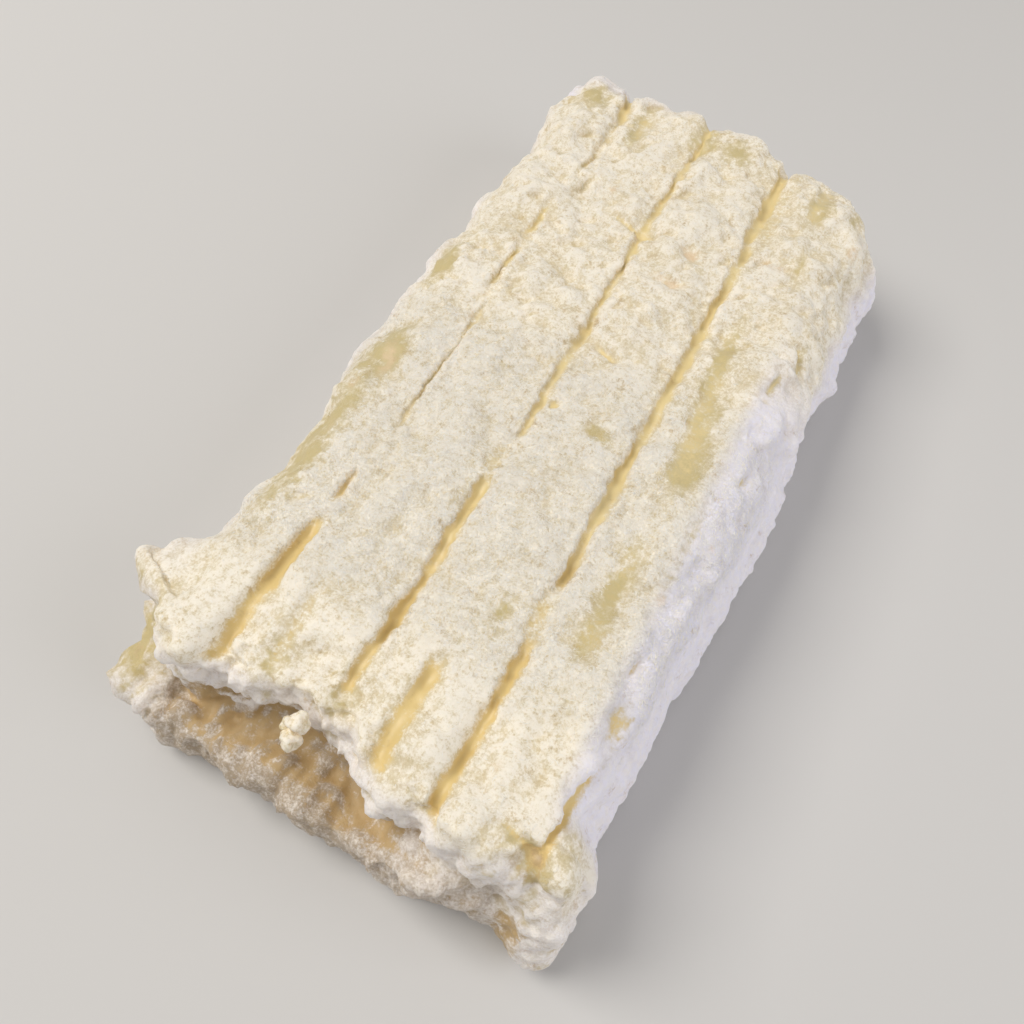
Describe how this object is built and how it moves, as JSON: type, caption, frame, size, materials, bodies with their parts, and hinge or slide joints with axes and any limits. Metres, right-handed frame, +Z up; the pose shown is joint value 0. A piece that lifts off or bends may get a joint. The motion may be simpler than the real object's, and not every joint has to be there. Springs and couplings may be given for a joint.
{
  "type": "brick of soft-ripened sheep's cheese",
  "caption": "Soft-ripened brick of sheep's cheese with a white bloomy rind, rack grooves along its top, slumped sides and a torn lip over a hollow at its near end.",
  "frame": {"origin": "centre of the bounding box on the flat underside, on the surface that the cheese lies on", "axes": "+Y along the rack grooves from the lipped near end to the far end, +X to the right as seen from the near end, +Z up"},
  "size_m": [0.0658, 0.1296, 0.0233],
  "materials": {
    "rind": "matte white bloom over soft cream-yellow paste, ochre in the grooves"
  },
  "bodies": {
    "root": {"cheese_brick": "rind"}
  },
  "joints": []
}
